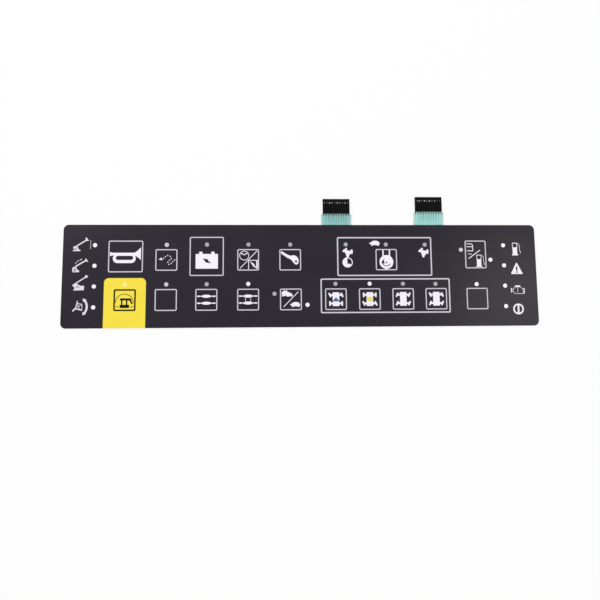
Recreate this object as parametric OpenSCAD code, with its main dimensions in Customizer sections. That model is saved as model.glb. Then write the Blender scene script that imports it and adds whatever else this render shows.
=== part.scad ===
/*
Membrane keypad: a printed polyester panel laminated over snap domes, chip lights and a circuit
film, with two flat tails that leave the upper edge and end in crimp connectors.
Origin at the middle of the rear face. X runs along the panel, Y towards the tails,
Z out of the printed face. Millimetres.
*/

/* [Panel] */
// Length of the panel along X
panel_length = 460; // [440:5:520]
// Height of the panel along Y
panel_height = 100; // [98:1:120]
// Radius of the four corners
corner_radius = 5; // [2:0.5:8]
// Distance that the inner layers stand in from the overlay's edge
layer_inset = 0.3; // [0.1:0.1:0.8]

/* [Layers] */
// Thickness of the printed polyester overlay
overlay_thickness = 0.25; // [0.18:0.01:0.5]
// Thickness of each of the two adhesive films
adhesive_thickness = 0.13; // [0.08:0.01:0.2]
// Thickness of the spacer around the domes and lights
spacer_thickness = 0.5; // [0.45:0.05:0.8]
// Thickness of the polyester circuit film and its tails
film_thickness = 0.2; // [0.12:0.01:0.25]
// Thickness of the release liner on the rear adhesive
liner_thickness = 0.1; // [0.06:0.01:0.2]
// Thickness of one pass of print or silver ink
ink_thickness = 0.02; // [0.01:0.01:0.04]

/* [Keys] */
// Outer side of a square key frame
key_size = 21; // [19:0.2:22.6]
// Width of the line round a key
key_line = 1; // [0.8:0.1:2]
// Width of the line round a group of keys
group_line = 1.25; // [1:0.05:2]
// Outer corner radius of the printed frames
frame_radius = 1.5; // [1:0.1:4]
// Diameter of a snap dome
dome_diameter = 12; // [8:0.2:14]
// Thickness of the dome's spring steel
dome_gauge = 0.1; // [0.05:0.01:0.12]

/* [Lights] */
// Diameter of the window in front of a light
window_diameter = 4; // [3.6:0.1:5]
// Length of a chip light
chip_length = 3.2; // [2:0.1:3.2]
// Width of a chip light
chip_width = 1.6; // [1.2:0.1:1.8]

/* [Tails and connectors] */
// Conductors in each tail, and contacts in each connector
ways = 10; // [6:1:12]
// Length of left tail from the panel's edge to its connector
left_reach = 11; // [9:0.5:60]
// Length of right tail from the panel's edge to its connector
right_reach = 13.2; // [9:0.5:60]
// Width of one conductor in a tail
conductor_width = 1.5; // [1.4:0.1:1.8]
// Length of a connector housing along Y
housing_length = 14.8; // [14:0.2:18]
// Thickness of a connector housing
housing_thickness = 3.2; // [3:0.1:4]

/* [Hidden] */
$fn = 64;
overlap = 0.5;

// Grid that the positions below are given on, stretched to the panel's size
grid_length = 460;
grid_height = 100;

// Layer levels above the rear face
rear_adhesive_level = liner_thickness;
film_level = rear_adhesive_level + adhesive_thickness;
silver_level = film_level + film_thickness;
spacer_level = silver_level + ink_thickness;
bond_level = spacer_level + spacer_thickness;
overlay_level = bond_level + adhesive_thickness;
print_level = overlay_level + overlay_thickness;
second_print_level = print_level + ink_thickness;

// Rows of keys: name, X, Y, width and height in key sizes
upper_row = 15.5;
lower_row = -23.2;
KEYS = [
    ["horn", -170.5, 19, 1.57, 1.47],
    ["reach", -131.7, upper_row, 1, 1],
    ["battery", -93.2, 19, 1.56, 1.82],
    ["generator", -53.3, upper_row, 1, 1],
    ["ignition", -12.6, upper_row, 1, 1],
    ["engine", 81.4, upper_row, 1, 1],
    ["fuel", 170, 20.5, 1, 1.32],
    ["bypass", -170.5, lower_row, 1, 1],
    ["spare_left", -131.7, lower_row, 1, 1],
    ["axle", -93.2, lower_row, 1, 1],
    ["axle_lock", -53.3, lower_row, 1, 1],
    ["speed", -12.2, lower_row, 1, 1],
    ["steer_front", 31.4, lower_row, 1, 1],
    ["steer_round", 64.3, lower_row, 1, 1],
    ["steer_crab", 97, lower_row, 1, 1],
    ["steer_rear", 129.5, lower_row, 1, 1],
    ["spare_right", 170, lower_row, 1, 1]
];

// Turn of the wheels in the four vehicle signs
wheel_turn = 24;
FRONT_TURNS = [1, 0, -1, 1];
REAR_TURNS = [0, 1, -1, -1];

// Frames round groups: X, Y, width, height
GROUPS = [
    [79.7, 18.6, 93.2, 38.6],
    [79.9, -19.9, 126.7, 33.8]
];

// Lights: place in the panel, X, Y, shade of the window
LIGHTS = [
    ["left", -199.8, 30, "white"],
    ["left", -199.8, 10, "white"],
    ["left", -199.8, -10, "white"],
    ["left", -199.8, -30, "white"],
    ["upper", -131.5, 30.3, "pale"],
    ["upper", -93, 30.5, "grey"],
    ["upper", -53, 30.5, "grey"],
    ["upper", -12.5, 30.5, "grey"],
    ["upper", 41.7, 30.5, "grey"],
    ["upper", 81.2, 30.5, "grey"],
    ["upper", 119.7, 30.3, "grey"],
    ["upper", 155.5, 25.2, "pale"],
    ["upper", 184.6, 15.2, "white"],
    ["lower", -170.5, -8.2, "yellow"],
    ["lower", -131.5, -8.2, "pale"],
    ["lower", -93, -8.2, "grey"],
    ["lower", -53.2, -8, "white"],
    ["lower", -28, -17.7, "grey"],
    ["lower", 3.8, -28.5, "white"],
    ["lower", 31.1, -8.2, "grey"],
    ["lower", 64.4, -8.2, "white"],
    ["lower", 97, -8.4, "grey"],
    ["lower", 129.1, -8.6, "grey"],
    ["lower", 169.8, -9, "white"],
    ["right", 198, 29.6, "white"],
    ["right", 198, 9.5, "white"],
    ["right", 198.1, -10.6, "white"],
    ["right", 198.1, -30.8, "white"]
];

// Signs beside the keys: name, X, Y
SIGNS = [
    ["lift_high", -213, 31],
    ["lift_swing", -213, 10],
    ["lift_low", -213, -6],
    ["slew", -213, -29.5],
    ["slow", 70.2, 31.6],
    ["idle", 43.5, 22.5],
    ["rotor", 43.3, 12.8],
    ["fast", 118.2, 22.5],
    ["fuel_level", 209.6, 28],
    ["warning", 210.5, 6],
    ["motor", 210.6, -14.4],
    ["power", 210.3, -33.6]
];

// Tails: name, X, length beyond the panel's edge
TAILS = [
    ["left", 32.8, left_reach],
    ["right", 124.4, right_reach]
];

// Coloured field behind the bypass key
field_margin = 9.3;
field_top = -2;
field_radius = 4.5;
field_line = 1.5;

// Cut-outs of the spacer and of the adhesive above it
dome_height = 0.8 * spacer_thickness;
dome_sphere = (pow(dome_diameter / 2, 2) + pow(dome_height, 2)) / (2 * dome_height);
dome_clearance = 0.5;
key_opening = dome_diameter + 2 * dome_clearance;
chip_height = spacer_thickness + adhesive_thickness / 2;
chip_clearance = 0.2;
chip_opening = [chip_length + 2 * chip_clearance, chip_width + 2 * chip_clearance];
vent_width = 1;
vent_link = -112;

// Connector sizes set by the standard 2.54 mm grid and 0.64 mm square pins
pitch = 2.54;
pin_opening = 1;
pin_lead = 1.4;
pin_lead_depth = 0.5;
chamber_width = 1.9;
chamber_height = 2;
front_wall = 1.2;
housing_width = ways * pitch + 0.9;
housing_chamfer = 0.4;
scallop = 1;
lance_opening = [1.4, 2.2];
lance_opening_start = housing_length - 4.9;

// Tail sizes
tail_width = ways * pitch + 4.6;
tail_end_width = ways * pitch - 0.6;
tail_end_depth = 6.4;
tail_slot = [tail_end_width + 0.3, 0.8];
tail_shoulder = 0.4;
coat_width = ways * pitch + 1.9;
coat_thickness = 2 * ink_thickness;
bend_lead = 0.8;
bend_steps = 8;
tail_rise = housing_thickness / 2 - film_thickness / 2 - film_level;
lead_in = 8;

// Contact sizes
contact_gauge = 0.2;
contact_width = 1.7;
contact_box = [housing_length - 7, housing_length - 1.4];
contact_floor = (housing_thickness - chamber_height) / 2;
contact_top = contact_floor + chamber_height - 0.1;
crimp_start = 1.6;
crimp_end = 6.2;
claw_length = 0.7;
claw_starts = [2.3, 4.5];
claw_offset = 0.55;
claw_clearance = 0.05;

// Printed signs are drawn for a key with a clear inside of 19 mm
sign_scale = (key_size - 2 * key_line) / 19;
sign_line = 0.7;

function place_x(x) = x * panel_length / grid_length;
function place_y(y) = y * panel_height / grid_height;
function key_width(key) = key[3] * key_size;
function key_height(key) = key[4] * key_size;
function reversed(points) = [for (i = [len(points) - 1:-1:0]) points[i]];
function normal(run) = [-run.y, run.x] / norm(run);

// Way from a line's point to its mitred corner, for a line one unit off
function mitre(points, i) =
    let(
        before = normal(points[max(i, 1)] - points[max(i, 1) - 1]),
        next = min(i, len(points) - 2),
        after = normal(points[next + 1] - points[next])
    )
    (before + after) / (1 + before * after);
function side_line(points, offset) =
    [for (i = [0:len(points) - 1]) points[i] + offset * mitre(points, i)];

// Side line of a tail: level at the panel, an S-bend up, level at the connector
function tail_line(reach, height, start, end) =
    let(
        bend_start = panel_height / 2 + bend_lead,
        bend_end = panel_height / 2 + reach - bend_lead,
        turn = 2 * atan(tail_rise / (bend_end - bend_start)),
        radius = (bend_end - bend_start) / (2 * sin(turn)),
        low = film_level,
        high = film_level + tail_rise
    )
    concat(
        [[start, low + height]],
        [for (i = [0:bend_steps])
            let(a = turn * i / bend_steps)
            [bend_start + (radius - height) * sin(a), low + radius - (radius - height) * cos(a)]],
        [for (i = [bend_steps - 1:-1:0])
            let(a = turn * i / bend_steps)
            [bend_end - (radius + height) * sin(a), high - radius + (radius + height) * cos(a)]],
        [[end, high + height]]
    );

module at_grid(x, y) {
    translate([place_x(x), place_y(y)])
        children();
}

module rounded_rectangle(width, height, radius) {
    square([width - 2 * radius, height], center = true);
    square([width, height - 2 * radius], center = true);
    for (x = [-1, 1], y = [-1, 1])
        translate([x * (width / 2 - radius), y * (height / 2 - radius)])
            circle(radius);
}

module frame(width, height, line) {
    difference() {
        rounded_rectangle(width, height, frame_radius);
        rounded_rectangle(width - 2 * line, height - 2 * line, max(frame_radius - line, line / 4));
    }
}

module pill(width, height) {
    square([width - height, height], center = true);
    for (side = [-1, 1])
        translate([side * (width - height) / 2, 0])
            circle(d = height);
}

module stroke(start, end, width) {
    path([start, end], width);
}

// A line of even width with mitred corners
module path(points, width) {
    polygon(concat(side_line(points, width / 2), reversed(side_line(points, -width / 2))));
}

module dots(points, diameter) {
    for (point = points)
        translate(point)
            circle(d = diameter);
}

// Part of a ring between two angles less than half a turn apart
module arc_band(radius, width, start, end) {
    reach = 2 * radius;
    intersection() {
        difference() {
            circle(radius + width / 2);
            circle(radius - width / 2);
        }
        polygon(concat(
            [[0, 0]],
            [for (i = [0:4]) let(a = start + (end - start) * i / 4) reach * [cos(a), sin(a)]]
        ));
    }
}

// A sign at the place that a row of KEYS or SIGNS gives
module at_sign(row) {
    at_grid(row[1], row[2])
        scale(sign_scale)
            children();
}

module panel_outline(inset) {
    rounded_rectangle(panel_length - 2 * inset, panel_height - 2 * inset, corner_radius - inset);
}

// A strip that follows a tail between two heights above the film's lower face
module tail_strip(reach, width, bottom, top, start, end) {
    rotate([90, 0, 90])
        translate([0, 0, -width / 2])
            linear_extrude(width)
                polygon(concat(
                    tail_line(reach, bottom, start, end),
                    reversed(tail_line(reach, top, start, end))
                ));
}

// Repeats a piece at each way of a connector
module each_way() {
    for (i = [0:ways - 1])
        translate([(i - (ways - 1) / 2) * pitch, 0, 0])
            children();
}

// Puts a piece at the rear face of a tail's connector
module at_connector(tail) {
    translate([place_x(tail[1]), panel_height / 2 + tail[2], 0])
        children();
}

module horn_sign() {
    translate([-14.4, 1])
        square([23.6, 2.6]);
    translate([-14.9, 0.5])
        square([1.6, 3.6]);
    polygon([[8, 1], [9.6, 0.5], [12.3, -1.4], [14.4, -3.5], [14.4, 8.9], [12.3, 6.6], [9.8, 4.5],
             [8, 3.6]]);
    difference() {
        translate([-1.3, -2])
            pill(21.8, 8.9);
        translate([-1.1, -1.4])
            pill(16.5, 4);
    }
}

// Platform on an arm, with the travel of its reach as a dotted line
module reach_sign() {
    polygon([[-7.4, 0.4], [-4.7, 2.4], [-3.6, -0.3]]);
    dots([[-2.6, 1.6], [-1, 3.3], [1.2, 4.4], [3.6, 3.5], [4.6, 1.2], [2.9, -0.5], [1.4, -2.3],
          [2.5, -4.3], [4.7, -3.3], [6.2, -1.6], [7.9, 0]], 1.1);
}

module battery_sign() {
    difference() {
        union() {
            translate([-10.6, -12.1])
                square([21.4, 14.4]);
            for (x = [-7.2, 4.4])
                translate([x, 2])
                    square([3.1, 2.5]);
        }
        polygon([[-4, -2], [1.3, -3], [1.6, -4.4], [4.6, -6.9], [-0.8, -6.1], [-1.6, -4.8]]);
    }
}

// Round machine over a diagonal, with a flash in the lower corner
module generator_sign() {
    translate([-3.8, 4.2]) {
        difference() {
            circle(4.7);
            circle(4.1);
        }
        path([[-3.2, 1.6], [-1.7, 2.2], [-0.8, 0.8], [0.8, 0.8], [1.7, 2.2], [3.2, 1.6]], sign_line);
    }
    stroke([-7.8, -8.3], [8.8, 9], sign_line);
    path([[0.4, -9.1], [0.4, -0.5], [8.9, -0.5]], sign_line);
    translate([7.8, -8.7])
        square([1.4, 8.4]);
    polygon([[1.4, -1.4], [5.2, -3.6], [5.8, -4.6], [8.2, -8.6], [4.4, -6], [3.9, -4.6]]);
}

module ignition_sign() {
    difference() {
        polygon([[-8.9, 7.9], [-8.2, 8.3], [-4.6, 6.2], [-2.2, 4.8], [0.6, 3.8], [2.2, 4.3], [3.8, 4.4],
                 [5.6, 3.7], [7.2, 2.3], [8, 0.4], [8.2, -1.6], [7.7, -3.5], [6.6, -4.7], [5.3, -4.7],
                 [4, -3.8], [2.8, -2.4], [1.7, -0.8], [0.3, 0.5], [-1.4, 1.3], [-3, 1.9], [-3.6, 2.9],
                 [-4.8, 3.1], [-5.5, 4.2], [-6.8, 4.4], [-7.5, 5.4], [-9.2, 6.4]]);
        translate([5.6, -1.6])
            circle(1.1);
    }
}

module hare() {
    polygon([[-5.2, 1.3], [-3.5, 3.4], [-2.5, 3.5], [-1.3, 4.9], [-0.3, 3.9], [-1.2, 2.5], [0.4, 2.2],
             [2.4, 1.4], [3.3, 2.9], [4.4, 3.3], [5, 2], [5, 0], [4.4, -1.7], [3.1, -1], [1.8, -2.2],
             [0.5, -4.9], [-0.8, -4.9], [-1.6, -2.4], [-2.3, 0], [-4.3, 0.5]]);
}

module tortoise() {
    polygon([[-5.3, 0.2], [-4.6, 0.9], [-3.6, 0.8], [-2.6, 2], [-0.8, 2.7], [1.6, 2.7], [3.6, 2],
             [4.8, 0.4], [5.2, -0.8], [4.2, -0.9], [4, -2.4], [2.6, -2.4], [2.4, -1.7], [-1.8, -1.7],
             [-2.2, -2.4], [-3.4, -2.4], [-3.4, -0.9], [-4.8, -0.6]]);
}

// Rotor under the slow-running light, with an open sector
module rotor_sign() {
    difference() {
        circle(5);
        intersection() {
            circle(4.2);
            polygon([[-0.4, 0.6], [0, 6], [6, 6], [6, -2.6], [1.2, -1.4], [-1.2, -1.6], [0.4, -0.4]]);
        }
    }
}

// Motor casing under two cable posts, with a curved start mark cut out of it
module engine_sign() {
    translate([0, -2.3])
        difference() {
            circle(6.8);
            polygon([[-1.7, 3.6], [-2.4, 0.6], [-1.6, -1.8], [-4.9, -1.4], [-4.4, 0.6]]);
            translate([0.2, -0.4])
                circle(0.8);
            arc_band(4, 0.8, 205, 335);
        }
    for (x = [-3.8, 2.5])
        translate([x, 3.2])
            square([1.3, 6.2]);
    translate([-1.6, -9.4])
        square([3.2, 1]);
}

module fuel_sign() {
    path([[-8.6, 10.6], [-4.2, 10.6], [-2.6, 9.2], [-2.6, 3.6], [-8.6, 3.6]], sign_line);
    stroke([-8.6, 7.7], [-2.6, 7.7], sign_line);
    stroke([-7.4, 0.4], [-3.6, 0.4], 0.5);
    stroke([-7.1, -4.1], [4.6, 4.3], 0.8);
    translate([3.2, -4.3])
        scale(0.78)
            pump();
}

// Dispenser with its hose, standing below the origin
module pump() {
    translate([-2.8, -9.8])
        square([5.6, 8.8]);
    translate([-3.8, -10.4])
        square([7.6, 1.2]);
    difference() {
        translate([-3.1, -1.4])
            square([6.2, 6.4]);
        translate([-2.4, -0.6])
            square([4.8, 4.8]);
    }
    path([[3, 4.2], [4.9, 3.4], [5.9, 1.4], [5.8, -4.8], [7.1, -6.6], [5.9, -7.9]], 0.5);
}

module axle_bar() {
    square([18, 0.8], center = true);
    square([8.6, 1.8], center = true);
    square([5, 2.8], center = true);
    for (x = [-7.3, 7.3])
        translate([x, 0])
            square([2, 1.4], center = true);
}

module axle_sign() {
    for (y = [-3.3, 3.4])
        translate([0, y])
            axle_bar();
}

module axle_lock_sign() {
    axle_sign();
    difference() {
        circle(2.9);
        circle(2.5);
    }
}

// Running hare above a diagonal, tortoise below it
module speed_sign() {
    stroke([-7, -7.2], [7.2, 7.4], sign_line);
    polygon([[-9.2, 6.4], [-7.8, 7.6], [-6.4, 9], [-5.4, 8], [-3.8, 9], [-3.4, 7.4], [-1, 6.6],
             [1.3, 5.2], [1.8, 3.4], [0.6, 2.6], [-1.2, 3.4], [-3, 2.4], [-4.6, 3.6], [-6.4, 3.4],
             [-8.8, 2.6], [-8.4, 4.8]]);
    translate([4.2, -5.1])
        scale(0.95)
            tortoise();
}

// Vehicle from above, its front and rear wheels turned by the given angles
module vehicle_sign(front, rear) {
    square([6.4, 13.4], center = true);
    for (side = [-1, 1]) {
        for (wheels = [[4.1, front], [-4.2, rear]])
            translate([side * 5.9, wheels[0]])
                rotate(wheels[1])
                    square([1.6, 4.4], center = true);
        for (y = [4.1, -4.2])
            translate([side * 4.4, y])
                square([3, 1.7], center = true);
    }
}

module lift_high_sign() {
    stroke([-4.9, -2.4], [5.4, 4.3], 1.2);
    polygon([[4, 6.6], [5.1, 6.4], [7.4, 3.2], [4.3, 3.2]]);
    difference() {
        polygon([[-7.5, -3], [-6, -1.8], [-3.7, -2.1], [-2.8, -3.5], [-2.2, -5], [-0.5, -5.7],
                 [-0.5, -6.8], [-7.6, -6.8], [-7.5, -5.7], [-4.2, -5.3], [-7.2, -4.3]]);
        stroke([-5.4, -3.5], [-4.3, -4.4], 0.6);
    }
    for (y = [-4.6, -2.4, -0.2, 2])
        translate([8.8, y])
            square([0.5, 1.6]);
}

module lift_swing_sign() {
    stroke([-4.9, -0.8], [5.4, 5.4], 1.3);
    polygon([[4.7, 7.1], [5.4, 6.8], [7.3, 3.9], [4.1, 4.2]]);
    difference() {
        polygon([[-7.4, -1.8], [-6, -1.1], [-3.6, -1.5], [-3, -3.7], [-1.1, -4.6], [-1.1, -6.2],
                 [-7.4, -6.2], [-7.5, -4]]);
        translate([-5, -3.4])
            circle(0.8);
        translate([-6.5, -5.4])
            square([2.2, 0.7]);
    }
    stroke([-4.9, 2.2], [-3.8, 3.4], sign_line);
    stroke([-3, 4.1], [-1.6, 5.1], sign_line);
    stroke([-0.7, 5.6], [1.3, 6.4], sign_line);
}

module lift_low_sign() {
    stroke([-5.9, -2.3], [5.8, 5.4], 1.1);
    polygon([[4.6, 6.5], [6.1, 7.2], [7.6, 5.6], [6.4, 4.2], [5.2, 4.5]]);
    difference() {
        polygon([[-7.3, -2.8], [-4.1, -1.1], [-1.8, -1.4], [-1.5, -2.5], [0.3, -2.8], [1.1, -3.7],
                 [2.9, -3.1], [4.2, -3.7], [3.9, -7.5], [-6.2, -7.8], [-5, -6.3], [-5, -4.9]]);
        for (x = [-3.4, -1.7])
            translate([x, -5])
                square([0.9, 1.3]);
    }
}

// Turntable frame with a double arrow curved round it
module slew_sign() {
    stroke([-2.9, -0.9], [-6, -4], 1.4);
    stroke([-3.6, -1.5], [2.9, -3.1], 1.2);
    stroke([-1.6, 5.9], [-3.1, -1.2], 0.9);
    path([[-1.7, 3.5], [2.6, 2.6], [2.6, -2.9]], 0.6);
    stroke([-1.6, 3.4], [0.8, -2.4], 0.5);
    stroke([2.6, 2.5], [-2.3, -0.3], 0.5);
    translate([-2.3, 0.1]) {
        arc_band(9.5, 2, -40, 40);
        for (turn = [-1, 1])
            rotate(turn * 38)
                translate([9.5, 0])
                    polygon([[-1.9, 0], [1.9, 0], [-0.4, turn * 2.9]]);
    }
}

module warning_sign() {
    difference() {
        polygon([[-0.4, 6], [0.4, 6], [5.8, -4.5], [5.5, -5.1], [-5.5, -5.1], [-5.8, -4.5]]);
        translate([-0.75, -1.7])
            square([1.5, 4]);
        translate([-0.75, -3.9])
            square([1.5, 1.4]);
    }
}

module motor_sign() {
    polygon([[-3.3, 2.3], [-2.2, 4], [2.2, 4], [3.2, 2.3]]);
    path([[-2.8, 1.9], [-4.6, 0.6], [-4.6, -2], [-3, -4.1], [5.2, -4.1], [5.2, 0.6], [3.2, 1.9]], 0.4);
    stroke([-0.2, 2.4], [-0.2, -2.6], 0.4);
    translate([-6.8, -3])
        square([1.1, 4.4]);
    translate([5.9, -4.2])
        square([0.8, 5.6]);
}

module power_sign() {
    difference() {
        circle(5.3);
        circle(3.8);
    }
    square([1.7, 9], center = true);
}

// Covered platform on a base, drawn in black on the coloured field
module bypass_sign() {
    translate([-4.4, -0.3])
        square([10.2, 2]);
    polygon([[4.4, 1.6], [5.9, 1.3], [7.8, -3.7], [6.3, -3.9], [5.3, -1.6], [4.4, -0.4]]);
    translate([-4.5, -7.5])
        square([8.8, 3]);
    for (x = [-3.3, 1.3])
        translate([x, -4.8])
            square([1.4, 5]);
    translate([-0.2, -2.6]) {
        arc_band(8.4, 0.6, 0, 90);
        arc_band(8.4, 0.6, 90, 180);
    }
    for (x = [-8.7, 4.9])
        translate([x, -6.7])
            square([3.6, 0.6]);
}

module graphic_overlay() {
    color([0.17, 0.16, 0.2])
        translate([0, 0, overlay_level])
            linear_extrude(overlay_thickness)
                panel_outline(0);
}

// The field runs from below the upper row to the panel's lower edge
module yellow_field() {
    width = key_size + 2 * field_margin;
    top = place_y(field_top);
    color([0.96, 0.86, 0.2])
        translate([place_x(KEYS[7][1]), 0, print_level])
            linear_extrude(ink_thickness) {
                translate([-width / 2, -panel_height / 2])
                    square([width, top - field_radius + panel_height / 2]);
                translate([field_radius - width / 2, -panel_height / 2])
                    square([width - 2 * field_radius, top + panel_height / 2]);
                for (x = [-1, 1])
                    translate([x * (width / 2 - field_radius), top - field_radius])
                        circle(field_radius);
            }
}

module white_frames() {
    color([0.85, 0.85, 0.88])
        translate([0, 0, print_level])
            linear_extrude(ink_thickness) {
                for (key = KEYS)
                    if (key[0] != "bypass")
                        at_grid(key[1], key[2])
                            frame(key_width(key), key_height(key), key_line);
                for (group = GROUPS)
                    at_grid(group[0], group[1])
                        frame(place_x(group[2]), place_y(group[3]), group_line);
            }
}

module black_frame() {
    key = KEYS[7];
    color([0.1, 0.1, 0.1])
        translate([0, 0, second_print_level])
            linear_extrude(ink_thickness)
                at_grid(key[1], key[2])
                    frame(key_width(key), key_height(key), field_line);
}

// White signs of one part of the panel
module signs(place) {
    color([0.92, 0.91, 0.94])
        translate([0, 0, print_level])
            linear_extrude(ink_thickness) {
                if (place == "left") signs_of_left_side();
                if (place == "upper") signs_of_upper_row();
                if (place == "lower") signs_of_lower_row();
                if (place == "right") signs_of_right_side();
            }
}

module signs_of_left_side() {
    at_sign(SIGNS[0])
        lift_high_sign();
    at_sign(SIGNS[1])
        lift_swing_sign();
    at_sign(SIGNS[2])
        lift_low_sign();
    at_sign(SIGNS[3])
        slew_sign();
}

module signs_of_upper_row() {
    at_sign(KEYS[0])
        horn_sign();
    at_sign(KEYS[1])
        reach_sign();
    at_sign(KEYS[2])
        battery_sign();
    at_sign(KEYS[3])
        generator_sign();
    at_sign(KEYS[4])
        ignition_sign();
    at_sign(KEYS[5])
        engine_sign();
    at_sign(KEYS[6])
        fuel_sign();
    at_sign(SIGNS[4])
        tortoise();
    at_sign(SIGNS[5])
        hare();
    at_sign(SIGNS[6])
        rotor_sign();
    at_sign(SIGNS[7])
        hare();
}

module signs_of_lower_row() {
    at_sign(KEYS[9])
        axle_sign();
    at_sign(KEYS[10])
        axle_lock_sign();
    at_sign(KEYS[11])
        speed_sign();
    for (i = [0:3])
        at_sign(KEYS[12 + i])
            vehicle_sign(wheel_turn * FRONT_TURNS[i], wheel_turn * REAR_TURNS[i]);
}

module signs_of_right_side() {
    at_sign(SIGNS[8])
        scale(0.82)
            pump();
    at_sign(SIGNS[9])
        warning_sign();
    at_sign(SIGNS[10])
        motor_sign();
    at_sign(SIGNS[11])
        power_sign();
}

module sign_black() {
    color([0.1, 0.1, 0.1])
        translate([0, 0, second_print_level])
            linear_extrude(ink_thickness)
                at_sign(KEYS[7])
                    bypass_sign();
}

// Coloured marks on the first two vehicles
module accent_blue() {
    color([0.25, 0.36, 0.6])
        translate([0, 0, second_print_level])
            linear_extrude(ink_thickness)
                at_sign(KEYS[12])
                    polygon([[-3.2, -2.2], [3.2, -2.2], [3.2, -1.6], [0, 1.9], [-3.2, -1.6]]);
}

module accent_yellow() {
    color([0.93, 0.87, 0.48])
        translate([0, 0, second_print_level])
            linear_extrude(ink_thickness)
                at_sign(KEYS[13])
                    rounded_rectangle(6, 4.4, 1.6);
}

// Windows of one shade; the yellow one lies on the coloured field
module windows(shade) {
    tones = [["white", [0.95, 0.94, 0.96]], ["pale", [0.76, 0.74, 0.78]],
             ["grey", [0.62, 0.61, 0.66]], ["yellow", [0.98, 0.92, 0.6]]];
    tone = [for (t = tones) if (t[0] == shade) t[1]][0];
    color(tone)
        translate([0, 0, shade == "yellow" ? second_print_level : print_level])
            linear_extrude(ink_thickness)
                for (light = LIGHTS)
                    if (light[3] == shade)
                        at_grid(light[1], light[2])
                            circle(d = window_diameter);
}

module overlay_adhesive() {
    color([0.85, 0.83, 0.75])
        translate([0, 0, bond_level])
            linear_extrude(adhesive_thickness)
                difference() {
                    panel_outline(layer_inset);
                    for (key = KEYS)
                        at_grid(key[1], key[2])
                            circle(d = key_opening);
                    for (light = LIGHTS)
                        at_grid(light[1], light[2])
                            circle(d = window_diameter + 2 * chip_clearance);
                }
}

// Openings for domes and lights, with vents that let the air move from key to key
module spacer() {
    color([0.9, 0.9, 0.9])
        translate([0, 0, spacer_level])
            linear_extrude(spacer_thickness)
                difference() {
                    panel_outline(layer_inset);
                    for (key = KEYS)
                        at_grid(key[1], key[2])
                            circle(d = key_opening);
                    for (light = LIGHTS)
                        at_grid(light[1], light[2])
                            square(chip_opening, center = true);
                    vent(KEYS[0][1], KEYS[6][1], upper_row);
                    vent(KEYS[7][1], KEYS[16][1], lower_row);
                    translate([place_x(vent_link) - vent_width / 2, place_y(lower_row)])
                        square([vent_width, place_y(upper_row) - place_y(lower_row)]);
                }
}

module vent(start, end, row) {
    translate([place_x(start), place_y(row) - vent_width / 2])
        square([place_x(end) - place_x(start), vent_width]);
}

// A shallow spherical shell that stands on its rim
module dome(key) {
    color([0.75, 0.76, 0.78])
        translate([place_x(key[1]), place_y(key[2]), spacer_level])
            rotate_extrude()
                intersection() {
                    translate([0, dome_height - dome_sphere])
                        difference() {
                            circle(dome_sphere, $fn = 720);
                            circle(dome_sphere - dome_gauge, $fn = 720);
                        }
                    square([dome_diameter / 2, spacer_thickness]);
                }
}

module lights(place) {
    color([0.95, 0.95, 0.85])
        translate([0, 0, spacer_level])
            linear_extrude(chip_height)
                for (light = LIGHTS)
                    if (light[0] == place)
                        at_grid(light[1], light[2])
                            square([chip_length, chip_width], center = true);
}

// Slots in film and silver where the crimp claws pass through
module claw_slots(tail) {
    at_connector(tail)
        each_way()
            for (start = claw_starts, side = [-1, 1])
                translate([
                    side * claw_offset - contact_gauge / 2 - claw_clearance,
                    start - claw_clearance,
                    0
                ])
                    cube([
                        contact_gauge + 2 * claw_clearance,
                        claw_length + 2 * claw_clearance,
                        housing_thickness
                    ]);
}

// One film: the panel's sheet and both tails, each narrowed where it enters its housing
module circuit_film() {
    color([0.8, 0.84, 0.84]) {
        difference() {
            union() {
                translate([0, 0, film_level])
                    linear_extrude(film_thickness)
                        panel_outline(layer_inset);
                for (tail = TAILS) {
                    shoulder = panel_height / 2 + tail[2] - tail_shoulder;
                    translate([place_x(tail[1]), 0, 0]) {
                        tail_strip(tail[2], tail_width, 0, film_thickness,
                                   panel_height / 2 - lead_in, shoulder);
                        translate([
                            -tail_end_width / 2,
                            shoulder - overlap * tail_shoulder,
                            film_level + tail_rise
                        ])
                            cube([
                                tail_end_width,
                                tail_shoulder * (1 + overlap) + tail_end_depth,
                                film_thickness
                            ]);
                    }
                }
            }
            for (tail = TAILS)
                claw_slots(tail);
        }
    }
}

// Dome contacts, light pads and the conductors that run out along the tails
module silver_circuit() {
    color([0.72, 0.73, 0.74]) {
        translate([0, 0, silver_level])
            linear_extrude(ink_thickness) {
                for (key = KEYS)
                    at_grid(key[1], key[2]) {
                        circle(d = dome_diameter / 4);
                        difference() {
                            circle(d = dome_diameter + dome_clearance);
                            circle(d = dome_diameter - 4 * dome_clearance);
                        }
                    }
                for (light = LIGHTS)
                    at_grid(light[1], light[2])
                        for (side = [-1, 1])
                            translate([side * chip_length / 3, 0])
                                square([chip_length / 3, chip_width], center = true);
            }
        difference() {
            for (tail = TAILS)
                translate([place_x(tail[1]), 0, 0])
                    each_way()
                        tail_strip(tail[2], conductor_width, film_thickness,
                                   film_thickness + ink_thickness, panel_height / 2 - lead_in,
                                   panel_height / 2 + tail[2] + tail_end_depth);
            for (tail = TAILS)
                claw_slots(tail);
        }
    }
}

// Insulating coat that closes over the conductors between panel and connector
module tail_coat(tail) {
    start = panel_height / 2 - layer_inset + 0.1;
    end = panel_height / 2 + tail[2] - tail_shoulder;
    color([0.53, 0.71, 0.71])
        translate([place_x(tail[1]), 0, 0])
            difference() {
                tail_strip(tail[2], coat_width, film_thickness, film_thickness + coat_thickness,
                           start, end);
                each_way()
                    tail_strip(tail[2], conductor_width, film_thickness,
                               film_thickness + ink_thickness, start - overlap, end + overlap);
            }
}

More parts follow.
